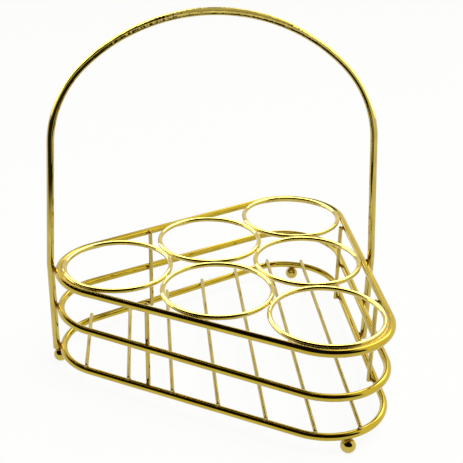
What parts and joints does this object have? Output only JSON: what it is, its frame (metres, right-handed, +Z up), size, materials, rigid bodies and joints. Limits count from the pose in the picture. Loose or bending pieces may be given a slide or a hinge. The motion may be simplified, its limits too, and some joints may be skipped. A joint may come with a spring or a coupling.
{
  "type": "serving cup holder",
  "caption": "Triangular gold-plated wire rack for serving cups: stacked rounded loops, a ring for each cup, a wire floor, an arch handle and ball feet.",
  "frame": {"origin": "on the table, under the middle of the handle, which is the middle of the rack's bounding box", "axes": "+Z up; X along the handle's plane, from the rack's pointed end towards its straight end; Y across it, with the XZ plane as the mirror plane"},
  "size_m": [0.228, 0.2402, 0.2507],
  "materials": {
    "loop_gold": "polished",
    "ring_gold": "polished",
    "floor_gold": "polished",
    "strut_gold": "polished",
    "handle_gold": "polished",
    "foot_gold": "polished"
  },
  "bodies": {
    "root": {"top_loop": "loop_gold", "middle_loop": "loop_gold", "bottom_loop": "loop_gold", "cup_ring_left": "ring_gold", "cup_ring_front_middle": "ring_gold", "cup_ring_back_middle": "ring_gold", "cup_ring_front_right": "ring_gold", "cup_ring_middle_right": "ring_gold", "cup_ring_back_right": "ring_gold", "floor_wire_1": "floor_gold", "floor_wire_2": "floor_gold", "floor_wire_3": "floor_gold", "floor_wire_4": "floor_gold", "floor_wire_5": "floor_gold", "floor_wire_6": "floor_gold", "floor_wire_7": "floor_gold", "strut_front": "strut_gold", "strut_back": "strut_gold", "strut_end_front": "strut_gold", "strut_end_back": "strut_gold", "handle": "handle_gold", "foot_left": "foot_gold", "foot_front": "foot_gold", "foot_back": "foot_gold"}
  },
  "joints": []
}
